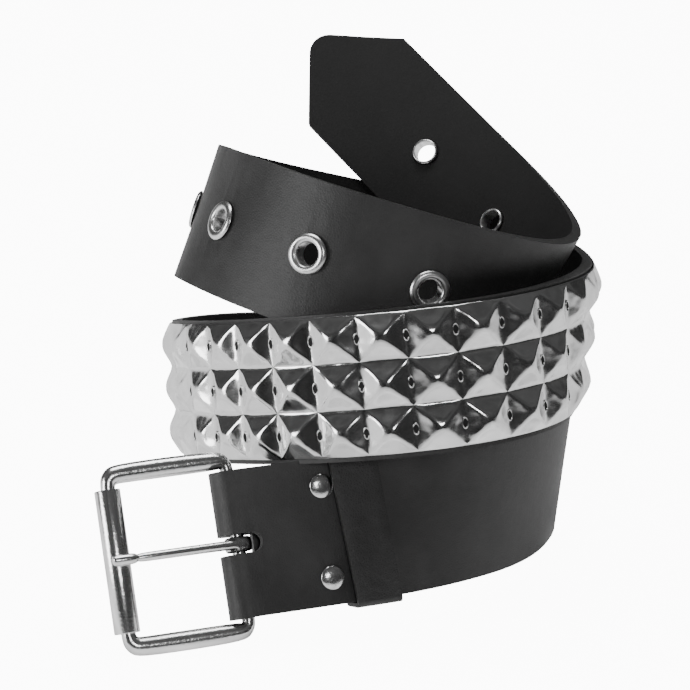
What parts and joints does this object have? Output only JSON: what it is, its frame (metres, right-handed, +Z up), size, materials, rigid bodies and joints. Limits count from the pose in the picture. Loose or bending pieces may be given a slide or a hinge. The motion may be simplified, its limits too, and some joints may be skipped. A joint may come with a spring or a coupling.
{
  "type": "studded belt",
  "caption": "Leather belt with three rows of pyramid studs, metal eyelets, a pointed tip, a keeper and a roller buckle, lying in a loose coil.",
  "frame": {"origin": "middle of the belt's footprint, on the surface that it lies on", "axes": "+Z up, +Y away from the viewer of the picture, +X to the picture's right"},
  "size_m": [0.1396, 0.1796, 0.1264],
  "materials": {
    "strap_leather": "smooth black leather with a fine grain, matte flesh side",
    "keeper_leather": "softer black leather with fine wrinkles",
    "stud_chrome": "bright plated sheet",
    "buckle_chrome": "polished plated casting",
    "eyelet_chrome": "bright rolled eyelets"
  },
  "bodies": {
    "belt": {"strap": "strap_leather", "keeper_loop": "keeper_leather", "stud_field": "stud_chrome", "rivet_1": "buckle_chrome", "rivet_2": "buckle_chrome", "eyelet_1": "eyelet_chrome", "eyelet_2": "eyelet_chrome", "eyelet_3": "eyelet_chrome", "eyelet_4": "eyelet_chrome", "eyelet_5": "eyelet_chrome", "eyelet_6": "eyelet_chrome", "eyelet_7": "eyelet_chrome", "eyelet_8": "eyelet_chrome"},
    "buckle": {"buckle_frame": "buckle_chrome"},
    "roller_tube": {"roller": "buckle_chrome"},
    "prong_pin": {"prong": "buckle_chrome"}
  },
  "joints": [
    {"name": "frame_swing", "type": "hinge", "parent": "belt", "child": "buckle", "pos_m": [-0.03087, -0.06654, 0.02417], "axis": [-0.1956, 0.4764, 0.8572], "range_deg": [-40, 20]},
    {"name": "prong_hinge", "type": "hinge", "parent": "buckle", "child": "prong_pin", "pos_m": [-0.03087, -0.06654, 0.02417], "axis": [-0.1956, 0.4764, 0.8572], "range_deg": [0, 70]},
    {"name": "roller_spin", "type": "hinge", "parent": "buckle", "child": "roller_tube", "pos_m": [-0.0627, -0.07689, 0.02266], "axis": [-0.1956, 0.4764, 0.8572], "continuous": true}
  ]
}
